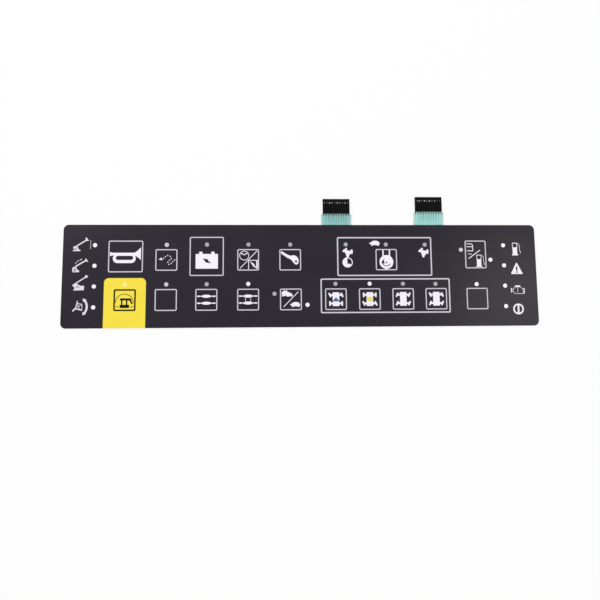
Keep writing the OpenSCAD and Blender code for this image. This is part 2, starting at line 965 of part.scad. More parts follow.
module housing_body() {
    c = housing_chamfer;
    rotate([90, 0, 90])
        translate([0, 0, -housing_width / 2])
            linear_extrude(housing_width)
                polygon([
                    [0, 0],
                    [housing_length - c, 0],
                    [housing_length, c],
                    [housing_length, housing_thickness - c],
                    [housing_length - c, housing_thickness],
                    [0, housing_thickness]
                ]);
}

// Chamber, pin entry and lance opening of one way
module housing_cavity() {
    middle = housing_thickness / 2;
    chamber_length = housing_length - front_wall;
    translate([-chamber_width / 2, -overlap, middle - chamber_height / 2])
        cube([chamber_width, chamber_length + overlap, chamber_height]);
    translate([-pin_opening / 2, chamber_length - overlap, middle - pin_opening / 2])
        cube([pin_opening, front_wall + 2 * overlap, pin_opening]);
    translate([0, housing_length - pin_lead_depth, middle])
        rotate([-90, 0, 0])
            cylinder(d1 = pin_opening, d2 = pin_lead, h = pin_lead_depth);
    translate([-lance_opening.x / 2, lance_opening_start, middle])
        cube([lance_opening.x, lance_opening.y, housing_thickness]);
}

module housing(tail) {
    color([0.1, 0.1, 0.11])
        at_connector(tail)
            difference() {
                housing_body();
                each_way()
                    housing_cavity();
                translate([-tail_slot.x / 2, -overlap, (housing_thickness - tail_slot.y) / 2])
                    cube([tail_slot.x, tail_end_depth + 2 * overlap, tail_slot.y]);
                for (i = [1:ways - 1])
                    translate([(i - ways / 2) * pitch, housing_length, -overlap])
                        cylinder(d = scallop, h = housing_thickness + 2 * overlap);
            }
}

// Floor strip of one contact, from the crimp under the film down to the box
module contact_strip() {
    crimp_level = film_level + tail_rise;
    rotate([90, 0, 90])
        translate([0, 0, -contact_width / 2])
            linear_extrude(contact_width)
                polygon([
                    [crimp_start, crimp_level - contact_gauge],
                    [crimp_end, crimp_level - contact_gauge],
                    [contact_box[0], contact_floor],
                    [contact_box[0] + overlap, contact_floor],
                    [contact_box[0] + overlap, contact_floor + contact_gauge],
                    [contact_box[0], contact_floor + contact_gauge],
                    [crimp_end, crimp_level],
                    [crimp_start, crimp_level]
                ]);
}

// Box that takes the pin, and the lance that locks in the housing's opening
module contact_receptacle() {
    length = contact_box[1] - contact_box[0];
    height = contact_top - contact_floor;
    inner = [contact_width - 2 * contact_gauge, height - 2 * contact_gauge];
    difference() {
        translate([-contact_width / 2, contact_box[0], contact_floor])
            cube([contact_width, length, height]);
        translate([-inner[0] / 2, contact_box[0] - overlap, contact_floor + contact_gauge])
            cube([inner[0], length + 2 * overlap, inner[1]]);
    }
    rotate([90, 0, 90])
        translate([0, 0, -contact_gauge * 2])
            linear_extrude(contact_gauge * 4)
                polygon([
                    [lance_opening_start + 0.3, contact_top - contact_gauge / 2],
                    [lance_opening_start + 0.3, contact_top + 0.4],
                    [lance_opening_start + 0.6, contact_top + 0.4],
                    [lance_opening_start + 1.8, contact_top],
                    [lance_opening_start + 1.8, contact_top - contact_gauge / 2]
                ]);
}

// Claws that pass through the film and close over its conductor
module contact_claws() {
    crimp_level = film_level + tail_rise;
    crimp_top = crimp_level + film_thickness + ink_thickness;
    for (start = claw_starts, side = [-1, 1])
        translate([side * claw_offset, start, 0]) {
            translate([-contact_gauge / 2, 0, crimp_level - contact_gauge / 2])
                cube([
                    contact_gauge,
                    claw_length,
                    crimp_top + contact_gauge - crimp_level + contact_gauge / 2
                ]);
            translate([-side * (claw_offset / 2 - contact_gauge / 2) - claw_offset / 2, 0, crimp_top])
                cube([claw_offset, claw_length, contact_gauge]);
        }
}

module contacts(tail) {
    color([0.8, 0.79, 0.76])
        at_connector(tail)
            each_way() {
                contact_strip();
                contact_receptacle();
                contact_claws();
            }
}

module rear_adhesive() {
    color([0.88, 0.86, 0.78])
        translate([0, 0, rear_adhesive_level])
            linear_extrude(adhesive_thickness)
                panel_outline(layer_inset);
}

module release_liner() {
    color([0.93, 0.92, 0.88])
        linear_extrude(liner_thickness)
            panel_outline(layer_inset);
}

graphic_overlay();
yellow_field();
white_frames();
black_frame();
for (place = ["left", "upper", "lower", "right"])
    signs(place);
sign_black();
accent_blue();
accent_yellow();
for (shade = ["white", "pale", "grey", "yellow"])
    windows(shade);
overlay_adhesive();
spacer();
for (key = KEYS)
    dome(key);
for (place = ["left", "upper", "lower", "right"])
    lights(place);
circuit_film();
silver_circuit();
for (tail = TAILS)
    tail_coat(tail);
for (tail = TAILS)
    housing(tail);
for (tail = TAILS)
    contacts(tail);
rear_adhesive();
release_liner();
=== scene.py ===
"""Membrane keypad: finishes of its films, print and metal, its connectors, and a plain stage."""

import math

import bmesh
import bpy
from bpy.props import FloatProperty, FloatVectorProperty, IntProperty, PointerProperty
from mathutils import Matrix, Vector


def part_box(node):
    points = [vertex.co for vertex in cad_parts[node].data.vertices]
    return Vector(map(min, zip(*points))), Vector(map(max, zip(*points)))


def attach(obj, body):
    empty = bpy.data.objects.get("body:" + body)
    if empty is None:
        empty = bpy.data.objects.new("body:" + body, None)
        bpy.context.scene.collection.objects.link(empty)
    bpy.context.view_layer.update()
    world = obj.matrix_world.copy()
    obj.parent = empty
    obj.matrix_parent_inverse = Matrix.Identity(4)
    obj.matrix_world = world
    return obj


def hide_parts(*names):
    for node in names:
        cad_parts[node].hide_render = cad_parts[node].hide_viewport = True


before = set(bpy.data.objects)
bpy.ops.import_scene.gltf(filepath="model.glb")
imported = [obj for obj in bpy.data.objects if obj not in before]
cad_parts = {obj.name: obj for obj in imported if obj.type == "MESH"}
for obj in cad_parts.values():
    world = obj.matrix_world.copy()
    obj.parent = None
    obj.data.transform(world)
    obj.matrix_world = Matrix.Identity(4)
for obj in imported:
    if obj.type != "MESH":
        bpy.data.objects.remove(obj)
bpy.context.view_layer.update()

bl_info = {
    "name": "Membrane keypad",
    "version": (1, 0, 0),
    "blender": (4, 5, 0),
    "location": "View3D > Sidebar > Keypad",
    "description": "Finishes a membrane keypad, models its connectors and sets its stage",
    "category": "Object",
}

BODY = "root"
MILLIMETRE = 0.001
SIDES = ("left", "right")
SIGN_NODES = ("signs_upper", "signs_lower", "signs_right")
WHITE = (1.0, 1.0, 1.0, 1.0)
FLOOR_CARD = (0.95, 0.95, 0.95, 1.0)
CAMERA_CLIP = 0.01
SMOOTH_ANGLE = math.radians(35)
LEAD_SIDES = 32
SCALLOP_SIDES = 24
ROUND_STEPS = 3
FOLD_STEPS = 4

# Least cosine between a direction and a face or an edge that counts as pointing that way
ALIGNED = 0.99

# Levels of noise that are spread over 0 to 1
NOISE_RANGE = (0.3, 0.7)

# Streaks are noise drawn out along Y, and flow marks are this much broader than the pits
STREAK_STRETCH = (1.0, 0.06, 1.0)
FLOW_BREADTH = 24.0


# Properties

def srgb(red, green, blue):
    """Scene-linear colour of an sRGB colour written from 0 to 255."""
    def linear(level):
        part = level / 255
        return part / 12.92 if part <= 0.04045 else ((part + 0.055) / 1.055) ** 2.4
    return (linear(red), linear(green), linear(blue))


def colour(name, description, *levels):
    """A colour property with an sRGB default from 0 to 255."""
    return FloatVectorProperty(
        name=name, description=description, subtype="COLOR", size=3, min=0, max=1,
        default=srgb(*levels),
    )


def length(name, description, millimetres):
    """A length property with its default in millimetres."""
    return FloatProperty(
        name=name, description=description, subtype="DISTANCE", unit="LENGTH", min=0,
        precision=5, default=millimetres * MILLIMETRE,
    )


def share(name, description, default):
    """A share from 0 to 1."""
    return FloatProperty(
        name=name, description=description, subtype="FACTOR", min=0, max=1, default=default,
    )


def power(name, description, watts):
    """The power of a lamp."""
    return FloatProperty(
        name=name, description=description, subtype="POWER", unit="POWER", min=0, default=watts,
    )


def position(name, description, *metres):
    """A place in the scene."""
    return FloatVectorProperty(
        name=name, description=description, subtype="TRANSLATION", unit="LENGTH", default=metres,
    )


class KeypadColours(bpy.types.PropertyGroup):
    """Colours of the films, the print and the connector parts."""

    film: colour("Overlay film", "Dark polyester of the touched face", 34, 28, 39)
    # Painted shade along the overlay's edge.
    rim: colour("Overlay edge shade", "Darker line where the film was cut", 8, 7, 9)
    yellow: colour("Yellow ink", "Field behind the bypass key", 249, 226, 60)
    white: colour("White ink", "Signs", 247, 243, 252)
    thin_white: colour("Thin white ink", "Signs at the left end", 226, 222, 232)
    frames: colour("Frame ink", "Lines round keys and groups", 212, 207, 218)
    black: colour("Black ink", "Frame and sign on the yellow field", 15, 13, 8)
    blue: colour("Blue ink", "Mark on the first vehicle", 62, 92, 156)
    pale_yellow: colour("Pale yellow ink", "Mark on the second vehicle", 240, 222, 118)
    window_white: colour("White window", "Clear light windows", 252, 250, 254)
    window_pale: colour("Pale window", "Windows with a light tint", 212, 206, 218)
    window_grey: colour("Grey window", "Windows with a smoked tint", 174, 169, 181)
    window_yellow: colour("Yellow window", "Window in the yellow field", 255, 242, 160)
    adhesive: colour("Adhesive", "Acrylic adhesive films", 214, 208, 190)
    spacer: colour("Spacer", "Milky polyester spacer", 226, 228, 228)
    steel: colour("Spring steel", "Snap domes", 198, 197, 194)
    chip: colour("Chip light", "Encapsulation of the chip lights", 240, 234, 190)
    circuit: colour("Circuit film", "Clear polyester with a blue cast", 198, 218, 217)
    silver: colour("Silver ink", "Printed conductors and pads", 188, 190, 192)
    coat_left: colour("Left tail coat", "Insulating coat on the left tail", 129, 182, 180)
    coat_right: colour("Right tail coat", "Insulating coat on the right tail", 144, 200, 194)
    plastic: colour("Housing plastic", "Black moulded housings", 8, 9, 9)
    tin: colour("Tin plate", "Crimp contacts", 222, 221, 219)
    paper: colour("Release paper", "Liner on the rear adhesive", 236, 232, 220)


class KeypadSurface(bpy.types.PropertyGroup):
    """Scale of the surface detail."""

    corner_radius: length("Corner radius", "Corners of the panel", 5)
    # Width of the painted shade along the overlay's edge.
    edge_shade_width: length("Edge shade width", "Width of the darker cut line", 1.0)
    film_grain: length("Film grain", "Size of the overlay's satin texture", 0.18)
    ink_grain: length("Ink grain", "Spacing of the print screen in the inks", 0.25)
    plastic_grain: length("Plastic grain", "Size of the moulded skin", 0.12)
    patch: length("Patch", "Size of broad changes of tone", 60)
    paper_fibre: length("Paper fibre", "Size of the liner's fibres", 0.6)
    dust_gap: length("Dust gap", "Distance between specks of dust on the film", 8)
    dust_size: share("Dust size", "Size of a speck as a share of the gap", 0.03)
    rolling_line: length("Rolling line", "Spacing of the lines on strip metal", 0.2)
    # The next two place the painted glints on strip metal: the size of their patches and the rise
    # over which the metal turns bright.
    glint_patch: length("Glint patch", "Size of the bright patches on metal", 2.5)
    glint_height: length("Glint height", "Rise over which a contact turns bright", 0.16)
    coat_streak: length("Coat streak", "Spacing of the streaks in the tail coat", 1)


class KeypadConnector(bpy.types.PropertyGroup):
    """Sizes of the crimp connectors."""

    ways: IntProperty(name="Ways", description="Contacts in a connector", default=10, min=2)
    pitch: length("Pitch", "Distance between contacts", 2.54)
    chamber_width: length("Chamber width", "Clear width for one contact", 1.9)
    chamber_height: length("Chamber height", "Clear height for one contact", 2)
    front_wall: length("Front wall", "Wall that the pins pass through", 1.2)
    pin_opening: length("Pin opening", "Side of the square opening for a pin", 1)
    pin_lead: length("Pin lead", "Diameter of the opening's lead-in", 1.4)
    pin_lead_depth: length("Pin lead depth", "Depth of the lead-in", 0.5)
    window_width: length("Lance window width", "Opening above a contact's lance", 1.4)
    window_length: length("Lance window length", "Opening above a contact's lance", 2.2)
    window_setback: length("Lance window setback", "From the front to the far end", 4.9)
    window_lip: length("Window lip", "Chamfer round a lance window", 0.12)
    slot_width: length("Tail slot width", "Slot that takes the tail's end", 25.1)
    slot_height: length("Tail slot height", "Slot that takes the tail's end", 0.8)
    slot_depth: length("Tail slot depth", "Slot that takes the tail's end", 6.9)
    scallop: length("Scallop", "Diameter of the notches between ways", 1)
    front_chamfer: length("Front chamfer", "Chamfer of the mating end", 0.4)
    edge_round: length("Edge round", "Radius of the moulded edges", 0.15)
    contact_gauge: length("Contact gauge", "Thickness of the contact strip", 0.2)
    contact_fold: length("Contact fold", "Radius of the folded box edges", 0.3)
    box_length: length("Contact box length", "Box that takes a pin", 5.6)
    crimp_length: length("Crimp length", "Level strip under the tail film", 4.6)
    lance_rise: length("Lance rise", "Height of the lance above the box", 0.4)
    lance_width: length("Lance width", "Width of the lance", 0.8)
    lance_length: length("Lance length", "Length of the lance", 1.5)
    lance_setback: length("Lance setback", "From the window's far end to the lance", 0.3)
    claw_length: length("Claw length", "Length of a crimp claw along the tail", 0.7)
    claw_offset: length("Claw offset", "From a contact's middle to a claw", 0.55)
    film_gauge: length("Film gauge", "Thickness of the film in the tail", 0.2)
    claw_height: length("Claw height", "Film and silver that a claw closes over", 0.22)
    first_claw: length("First claw", "From the contact's end to the first pair", 0.7)
    second_claw: length("Second claw", "From the contact's end to the second pair", 2.9)


class KeypadStage(bpy.types.PropertyGroup):
    """Camera, lamps and floor."""

    camera_place: position(
        "Camera place", "Where the camera stands", -0.02451, -0.07897, 0.52319,
    )
    camera_turn: FloatVectorProperty(
        name="Camera turn", description="Rotation of the camera", subtype="EULER",
        unit="ROTATION",
        default=(math.radians(6.046), math.radians(-2.257), math.radians(-0.51)),
    )
    lens: FloatProperty(
        name="Lens", description="Focal length on a 36 mm sensor", unit="CAMERA", min=1,
        default=32.697,
    )
    floor_side: length("Floor side", "Side of the square floor", 8000)
    floor_gap: length("Floor gap", "Floor's distance below the liner", 0.05)
    floor_white: share("Floor white", "Share of plain white in the floor as seen", 0.82)
    sky: share("Sky", "Strength of the even light from all round", 0.68)
    key_place: position("Key lamp place", "Soft lamp over the right end", 0.7, 0.08, 1.05)
    key_side: length("Key lamp side", "Side of the lamp over the right end", 360)
    key_power: power("Key lamp power", "Lamp over the right end", 1.4)
    fill_place: position("Fill lamp place", "Soft lamp behind the left end", -0.8, 1.1, 1.3)
    fill_side: length("Fill lamp side", "Side of the lamp behind the left end", 1200)
    fill_power: power("Fill lamp power", "Lamp behind the left end", 13.5)


class KeypadSettings(bpy.types.PropertyGroup):
    """All settings of the keypad."""

    colours: PointerProperty(type=KeypadColours)
    surface: PointerProperty(type=KeypadSurface)
    connector: PointerProperty(type=KeypadConnector)
    stage: PointerProperty(type=KeypadStage)


# Nodes

def add_node(tree, kind, inputs=None, **settings):
    """Adds a node. Inputs are set to a value, or linked where a socket is given."""
    made = tree.nodes.new(kind)
    for name, value in settings.items():
        setattr(made, name, value)
    for name, value in (inputs or {}).items():
        if isinstance(value, bpy.types.NodeSocket):
            tree.links.new(value, made.inputs[name])
        else:
            made.inputs[name].default_value = value
    return made


def calculate(tree, operation, first, second=0.0):
    """The result of a Math node."""
    return add_node(tree, "ShaderNodeMath", {0: first, 1: second}, operation=operation).outputs[0]


def ramp(tree, value, low, high, start=0.0, end=1.0):
    """Value taken smoothly from low..high to start..end."""
    made = add_node(
        tree, "ShaderNodeMapRange", {0: value, 1: low, 2: high, 3: start, 4: end},
        interpolation_type="SMOOTHSTEP",
    )
    return made.outputs[0]


def blend(tree, mask, first, second, most=1.0):
    """A mix of two colours, each a colour or a socket. The mask brings in at most a share."""
    def full(value):
        return value if isinstance(value, bpy.types.NodeSocket) else (*value, 1.0)
    if most < 1:
        mask = calculate(tree, "MULTIPLY", mask, most)
    made = add_node(
        tree, "ShaderNodeMix", {0: mask, 6: full(first), 7: full(second)}, data_type="RGBA",
    )
    return made.outputs[2]


def noise(tree, place, scale, detail=2.0, roughness=0.5):
    """Noise between 0 and 1."""
    inputs = {"Vector": place, "Scale": scale, "Detail": detail, "Roughness": roughness}
    return add_node(tree, "ShaderNodeTexNoise", inputs).outputs[0]


def start_group(name, inputs, outputs):
    """An empty group with number sockets, and a vector socket for the place."""
    group = bpy.data.node_groups.new(name, "ShaderNodeTree")
    group.interface.new_socket(name="Place", in_out="INPUT", socket_type="NodeSocketVector")
    for socket in inputs:
        group.interface.new_socket(name=socket, in_out="INPUT", socket_type="NodeSocketFloat")
    for socket in outputs:
        group.interface.new_socket(name=socket, in_out="OUTPUT", socket_type="NodeSocketFloat")
    entry = group.nodes.new("NodeGroupInput")
    leave = group.nodes.new("NodeGroupOutput")
    return group, entry.outputs, leave.inputs


def film_grain(name):
    """Fine texture and broad changes of tone, for films and inks."""
    group, given, result = start_group(name, ("Grain", "Patch"), ("Fine", "Broad"))
    fine = noise(group, given["Place"], given["Grain"], detail=3.0, roughness=0.6)
    broad = noise(group, given["Place"], given["Patch"])
    group.links.new(ramp(group, fine, *NOISE_RANGE), result["Fine"])
    group.links.new(ramp(group, broad, *NOISE_RANGE), result["Broad"])
    return group


def panel_edge_shade(name):
    """Mask of the painted shade along the edge of a panel with round corners, centred on the
    origin.
    """
    group, given, result = start_group(
        name, ("Half length", "Half height", "Radius", "Width"), ("Mask",),
    )
    split = add_node(group, "ShaderNodeSeparateXYZ", {0: given["Place"]}).outputs
    past = []
    for axis, half in ((0, "Half length"), (1, "Half height")):
        core = calculate(group, "SUBTRACT", given[half], given["Radius"])
        away = calculate(group, "ABSOLUTE", split[axis])
        past.append(calculate(group, "SUBTRACT", away, core))
    squares = [
        calculate(group, "POWER", calculate(group, "MAXIMUM", reach, 0.0), 2.0) for reach in past
    ]
    corner = calculate(group, "SQRT", calculate(group, "ADD", *squares))
    side = calculate(group, "MINIMUM", calculate(group, "MAXIMUM", *past), 0.0)
    reach = calculate(group, "ADD", corner, side)
    inner = calculate(group, "SUBTRACT", given["Radius"], given["Width"])
    group.links.new(ramp(group, reach, inner, given["Radius"]), result["Mask"])
    return group


def specks(name):
    """Mask of sparse small specks, such as dust. About a third of the cells have one."""
    group, given, result = start_group(name, ("Density", "Size"), ("Mask",))
    cells = add_node(
        group, "ShaderNodeTexVoronoi", {"Vector": given["Place"], "Scale": given["Density"]},
    )
    near = ramp(group, cells.outputs["Distance"], given["Size"], 0.0)
    chosen = add_node(group, "ShaderNodeSeparateXYZ", {0: cells.outputs["Color"]}).outputs[0]
    some = calculate(group, "GREATER_THAN", chosen, 0.7)
    group.links.new(calculate(group, "MULTIPLY", near, some), result["Mask"])
    return group


def conductors(name):
    """Masks of a tail's conductors, of the lines between them, and of its end and sides."""
    group, given, result = start_group(
        name, ("Middle", "Half", "Pitch", "Start", "End"),
        ("Conductor", "Line", "Near end", "Side"),
    )
    split = add_node(group, "ShaderNodeSeparateXYZ", {0: given["Place"]}).outputs
    across = calculate(group, "SUBTRACT", split[0], given["Middle"])
    ways = calculate(group, "DIVIDE", across, given["Pitch"])
    fold = calculate(group, "PINGPONG", ways, 0.5)
    group.links.new(ramp(group, fold, low=0.16, high=0.26), result["Conductor"])
    group.links.new(ramp(group, fold, low=0.14, high=0.03), result["Line"])
    group.links.new(ramp(group, split[1], given["Start"], given["End"]), result["Near end"])
    away = calculate(group, "ABSOLUTE", across)
    inner = calculate(group, "MULTIPLY", given["Half"], 0.5)
    group.links.new(ramp(group, away, inner, given["Half"]), result["Side"])
    return group


def moulded_skin(name):
    """Skin of a moulded plastic: fine pits and slow flow marks."""
    group, given, result = start_group(name, ("Grain",), ("Pits", "Flow"))
    pits = noise(group, given["Place"], given["Grain"], detail=4.0, roughness=0.65)
    slow = calculate(group, "DIVIDE", given["Grain"], FLOW_BREADTH)
    flow = noise(group, given["Place"], slow)
    group.links.new(ramp(group, pits, *NOISE_RANGE), result["Pits"])
    group.links.new(ramp(group, flow, low=0.35, high=0.65), result["Flow"])
    return group


def streaks(name):
    """Uneven lines along Y, as on rolled metal or a drawn coat."""
    group, given, result = start_group(name, ("Lines",), ("Tone",))
    stretch = add_node(
        group, "ShaderNodeMapping", {"Vector": given["Place"], "Scale": STREAK_STRETCH},
    )
    lines = noise(group, stretch.outputs[0], given["Lines"], detail=3.0, roughness=0.6)
    group.links.new(ramp(group, lines, *NOISE_RANGE), result["Tone"])
    return group


def painted_top_light(name):
    """Mask of a painted highlight on metal where it stands high, uneven from place to place."""
    group, given, result = start_group(name, ("Low", "High", "Patch"), ("Mask",))
    height = add_node(group, "ShaderNodeSeparateXYZ", {0: given["Place"]}).outputs[2]
    raised = ramp(group, height, given["Low"], given["High"])
    uneven = noise(group, given["Place"], given["Patch"], detail=1.0)
    patches = ramp(group, uneven, low=0.45, high=0.6)
    group.links.new(calculate(group, "MULTIPLY", raised, patches), result["Mask"])
    return group


EFFECTS = {
    "Film grain": film_grain,
    "Panel rim": panel_edge_shade,
    "Specks": specks,
    "Conductors": conductors,
    "Moulded skin": moulded_skin,
    "Streaks": streaks,
    "Rubbed top": painted_top_light,
}


# Materials

class Finish:
    """A new material with its shader, and the object's coordinates as the place."""

    def __init__(self, name, **values):
        """Starts the material. Values are set on the shader's own sockets."""
        self.material = bpy.data.materials.new(name)
        self.material.use_nodes = True
        self.tree = self.material.node_tree
        self.shader = self.tree.nodes["Principled BSDF"]
        self.place = self.tree.nodes.new("ShaderNodeTexCoord").outputs["Object"]
        for socket, value in values.items():
            self.shader.inputs[socket.replace("_", " ")].default_value = value

    def effect(self, name, **values):
        """Places an effect's group, built the first time, and gives its outputs."""
        group = bpy.data.node_groups.get(name) or EFFECTS[name](name)
        inputs = {socket.replace("_", " "): value for socket, value in values.items()}
        inputs["Place"] = self.place
        return add_node(self.tree, "ShaderNodeGroup", inputs, node_tree=group).outputs

    def feed(self, socket, value):
        """Links a value to one of the shader's sockets."""
        self.tree.links.new(value, self.shader.inputs[socket])

    def rough(self, mask, low, high):
        """Lets the roughness run from low to high with a mask."""
        self.feed("Roughness", ramp(self.tree, mask, 0.0, 1.0, low, high))

    def bump(self, height, depth, strength):
        """Raises the surface with a mask."""
        made = add_node(
            self.tree, "ShaderNodeBump",
            {"Height": height, "Distance": depth, "Strength": strength},
        )
        self.feed("Normal", made.outputs[0])


def toned(tone, light):
    """A colour with its light multiplied."""
    return tuple(part * light for part in tone)


def overlay_film(settings):
    """Satin polyester: dark print seen through it, painted shade along its edge and a little dust.
    """
    tones = settings.colours
    surface = settings.surface
    low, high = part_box("graphic_overlay")
    film = Finish("overlay_film", Specular_IOR_Level=0.18)
    tree = film.tree
    grain = film.effect("Film grain", Grain=1 / surface.film_grain, Patch=1 / surface.patch)
    rim = film.effect(
        "Panel rim", Half_length=(high.x - low.x) / 2, Half_height=(high.y - low.y) / 2,
        Radius=surface.corner_radius, Width=surface.edge_shade_width,
    )
    dust = film.effect("Specks", Density=1 / surface.dust_gap, Size=surface.dust_size)
    base = blend(tree, grain["Broad"], toned(tones.film, 0.88), toned(tones.film, 1.12))
    # Painted shade darkens the film along its edge.
    base = blend(tree, rim["Mask"], base, tones.rim, most=0.8)
    base = blend(tree, dust["Mask"], base, tones.paper, most=0.3)
    film.feed("Base Color", base)
    film.rough(grain["Fine"], low=0.24, high=0.31)
    film.bump(grain["Fine"], depth=0.01 * MILLIMETRE, strength=0.2)
    return film.material


def ink(name, tone, settings, roughness=0.5, gloss=0.35):
    """Screen-printed ink: dense colour with the faint mesh of its screen."""
    surface = settings.surface
    layer = Finish(name, Specular_IOR_Level=gloss)
    tree = layer.tree
    grain = layer.effect("Film grain", Grain=1 / surface.ink_grain, Patch=3 / surface.patch)
    mottle = blend(tree, grain["Fine"], toned(tone, 0.95), tone)
    layer.feed("Base Color", blend(tree, grain["Broad"], mottle, tone))
    layer.rough(grain["Fine"], low=roughness - 0.06, high=roughness)
    layer.bump(grain["Fine"], depth=0.008 * MILLIMETRE, strength=0.3)
    return layer.material


def light_window(name, tone, settings):
    """Translucent window: glossier than the film, with a diffusing haze."""
    surface = settings.surface
    window = Finish(name, Coat_Weight=0.25, Coat_Roughness=0.2)
    tree = window.tree
    grain = window.effect("Film grain", Grain=2 / surface.film_grain, Patch=20 / surface.patch)
    window.feed("Base Color", blend(tree, grain["Broad"], toned(tone, 0.94), tone))
    window.rough(grain["Fine"], low=0.3, high=0.4)
    return window.material


def clear_film(name, tone, settings, haze):
    """Plain film or adhesive: pale, hazy, with slow changes of tone."""
    surface = settings.surface
    film = Finish(name)
    tree = film.tree
    grain = film.effect("Film grain", Grain=1 / surface.film_grain, Patch=4 / surface.patch)
    film.feed("Base Color", blend(tree, grain["Broad"], toned(tone, 0.92), tone))
    film.rough(grain["Fine"], low=haze, high=haze + 0.12)
    film.bump(grain["Fine"], depth=0.006 * MILLIMETRE, strength=0.2)
    return film.material


def release_paper(settings):
    """Coated paper with fibres and a faint mottle."""
    surface = settings.surface
    tone = settings.colours.paper
    paper = Finish("liner_paper", Specular_IOR_Level=0.4)
    tree = paper.tree
    grain = paper.effect("Film grain", Grain=1 / surface.paper_fibre, Patch=6 / surface.patch)
    fibres = blend(tree, grain["Fine"], toned(tone, 0.9), tone)
    paper.feed("Base Color", blend(tree, grain["Broad"], fibres, tone))
    paper.rough(grain["Broad"], low=0.42, high=0.55)
    paper.bump(grain["Fine"], depth=0.01 * MILLIMETRE, strength=0.4)
    return paper.material


def strip_metal(name, tone, settings, low, high, painted_shade_share, roughness):
    """Rolled strip metal, in painted shade below a low level and with a painted highlight in
    uneven patches above a high level.
    """
    surface = settings.surface
    metal = Finish(name, Metallic=1.0)
    tree = metal.tree
    rolled = metal.effect("Streaks", Lines=1 / surface.rolling_line)
    top_light = metal.effect("Rubbed top", Low=low, High=high, Patch=1 / surface.glint_patch)
    # Painted shade below the low level and a painted highlight above the high level, in uneven
    # patches.
    base = blend(tree, top_light["Mask"], toned(tone, painted_shade_share), tone)
    metal.feed("Base Color", blend(tree, rolled["Tone"], base, toned(tone, painted_shade_share / 2), most=0.2))
    metal.rough(rolled["Tone"], low=roughness, high=roughness + 0.15)
    return metal.material


def silver_ink(settings):
    """Matt flake silver."""
    surface = settings.surface
    tone = settings.colours.silver
    silver = Finish("silver_ink", Metallic=0.7)
    tree = silver.tree
    grain = silver.effect("Film grain", Grain=2 / surface.ink_grain, Patch=10 / surface.patch)
    silver.feed("Base Color", blend(tree, grain["Fine"], toned(tone, 0.8), tone))
    silver.rough(grain["Fine"], low=0.45, high=0.6)
    silver.bump(grain["Fine"], depth=0.01 * MILLIMETRE, strength=0.4)
    return silver.material


def tail_coat(settings, side):
    """Teal coat that shows the conductors under it, with a painted sheen near the panel and, at
    the connector, painted shade between the conductors and the housing's painted shadow.
    """
    surface = settings.surface
    tone = getattr(settings.colours, f"coat_{side}")
    low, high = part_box(f"coat_{side}")
    coat = Finish(f"tail_coat_{side}", Specular_IOR_Level=0.4)
    tree = coat.tree
    grain = coat.effect("Film grain", Grain=1 / surface.ink_grain, Patch=20 / surface.patch)
    drawn = coat.effect("Streaks", Lines=1 / surface.coat_streak)
    rows = coat.effect(
        "Conductors", Middle=(low.x + high.x) / 2, Half=(high.x - low.x) / 2,
        Pitch=settings.connector.pitch, Start=low.y, End=high.y,
    )
    # Painted sheen: the coat is lighter near the panel.
    base = blend(tree, ramp(tree, rows["Near end"], low=0.0, high=0.6), toned(tone, 1.3), tone)
    base = blend(tree, drawn["Tone"], base, toned(tone, 1.2), most=0.5)
    base = blend(tree, rows["Conductor"], base, toned(tone, 1.2), most=0.5)
    base = blend(tree, grain["Broad"], base, toned(tone, 0.9), most=0.4)
    base = blend(tree, rows["Side"], base, toned(tone, 1.3), most=0.7)
    # The lines between conductors are partly their real gaps and grow into painted shade towards
    # the housing.
    gap_and_painted_shade = ramp(tree, rows["Near end"], 0.0, 1.0, start=0.4, end=0.9)
    clear = ramp(tree, rows["Side"], 0.0, 1.0, start=1.0, end=0.2)
    lines = calculate(tree, "MULTIPLY", calculate(tree, "MULTIPLY", rows["Line"], gap_and_painted_shade), clear)
    base = blend(tree, lines, base, toned(tone, 0.5))
    # Painted shadow of the housing on the gaps between the conductors at the tail's end.
    gaps = calculate(tree, "SUBTRACT", 1.0, rows["Conductor"])
    shade = calculate(tree, "MULTIPLY", gaps, ramp(tree, rows["Near end"], low=0.84, high=1.0))
    coat.feed("Base Color", blend(tree, shade, base, toned(tone, 0.2)))
    coat.rough(grain["Fine"], low=0.38, high=0.48)
    coat.bump(rows["Conductor"], depth=0.02 * MILLIMETRE, strength=0.6)
    return coat.material


def housing_plastic(settings):
    """Black moulded plastic with a fine skin."""
    tone = settings.colours.plastic
    plastic = Finish("housing_plastic", Specular_IOR_Level=0.06)
    tree = plastic.tree
    skin = plastic.effect("Moulded skin", Grain=1 / settings.surface.plastic_grain)
    plastic.feed("Base Color", blend(tree, skin["Flow"], toned(tone, 0.8), toned(tone, 1.15)))
    plastic.rough(skin["Pits"], low=0.4, high=0.56)
    plastic.bump(skin["Pits"], depth=0.01 * MILLIMETRE, strength=0.35)
    return plastic.material


# Modelling

def dress(material, *nodes):
    """Gives a material to the frame's own solids."""
    for name in nodes:
        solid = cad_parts[name]
        if not solid.material_slots:
            raise RuntimeError(f"{name} has no material slot")
        for slot in solid.material_slots:
            slot.material = material


def deselect():
    """Leaves edit mode and selects nothing."""
    if bpy.context.object and bpy.context.object.mode != "OBJECT":
        bpy.ops.object.mode_set(mode="OBJECT")
    bpy.ops.object.select_all(action="DESELECT")


def pick(*pieces):
    """Selects only these pieces, the first one active."""
    deselect()
    for piece in pieces:
        piece.select_set(True)
    bpy.context.view_layer.objects.active = pieces[0]


def start_box(name, low, high):
    """A box between two corners, with its place in its mesh."""
    deselect()
    low = Vector(low)
    high = Vector(high)
    bpy.ops.mesh.primitive_cube_add(size=1, location=(low + high) / 2, scale=high - low)
    piece = bpy.context.object
    piece.name = name
    bpy.ops.object.transform_apply(location=True, rotation=True, scale=True)
    return piece


